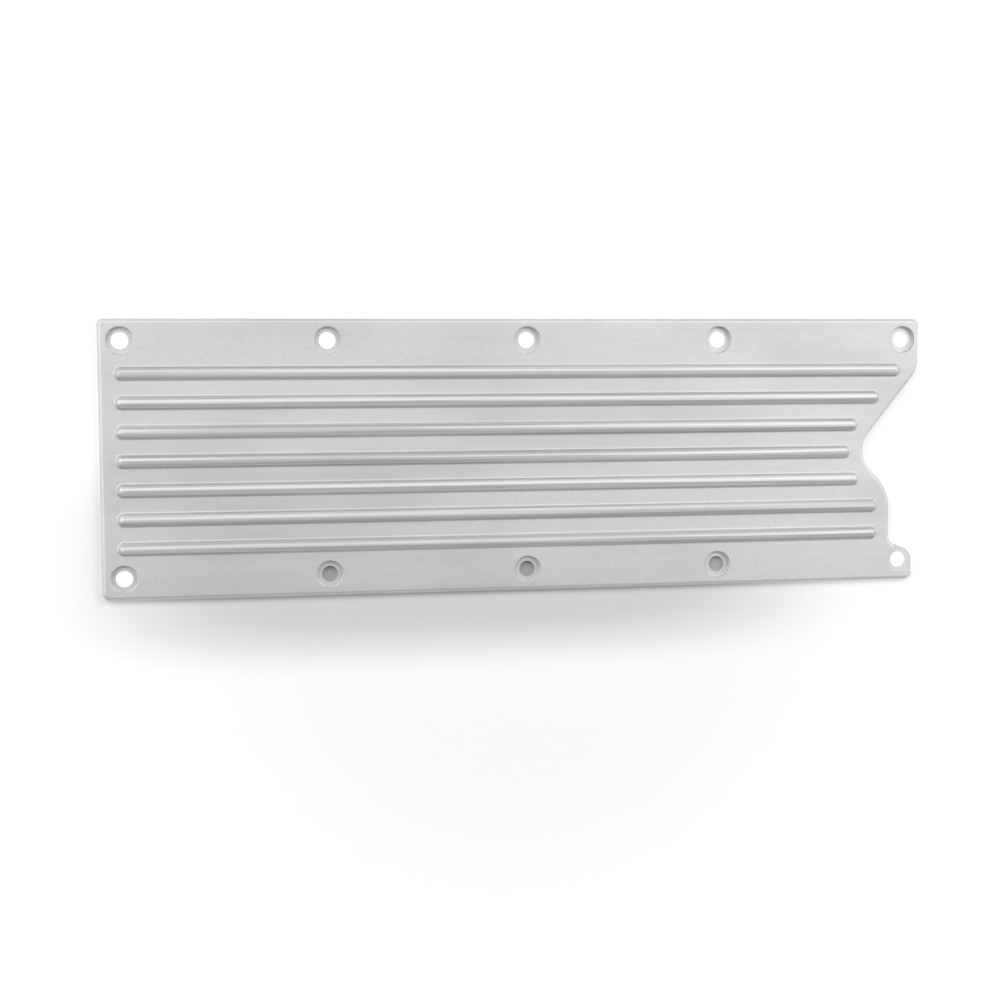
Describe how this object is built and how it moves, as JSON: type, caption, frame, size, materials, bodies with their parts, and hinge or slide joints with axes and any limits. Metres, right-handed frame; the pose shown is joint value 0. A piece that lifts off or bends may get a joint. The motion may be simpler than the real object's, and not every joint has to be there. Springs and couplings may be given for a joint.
{
  "type": "valley cover",
  "caption": "Flat ribbed aluminium cover plate with two rows of sunk screw seats and one end cut back in an S, for closing an engine's valley.",
  "frame": {"origin": "middle of the outline on the flat sealing face", "axes": "+X along the cover towards its cut-back end, +Y across it towards the rear row of screws, +Z out of the ribbed top face"},
  "size_m": [0.4692, 0.153, 0.008],
  "materials": {
    "cast_aluminium": "satin"
  },
  "bodies": {
    "root": {"valley_cover": "cast_aluminium"}
  },
  "joints": []
}
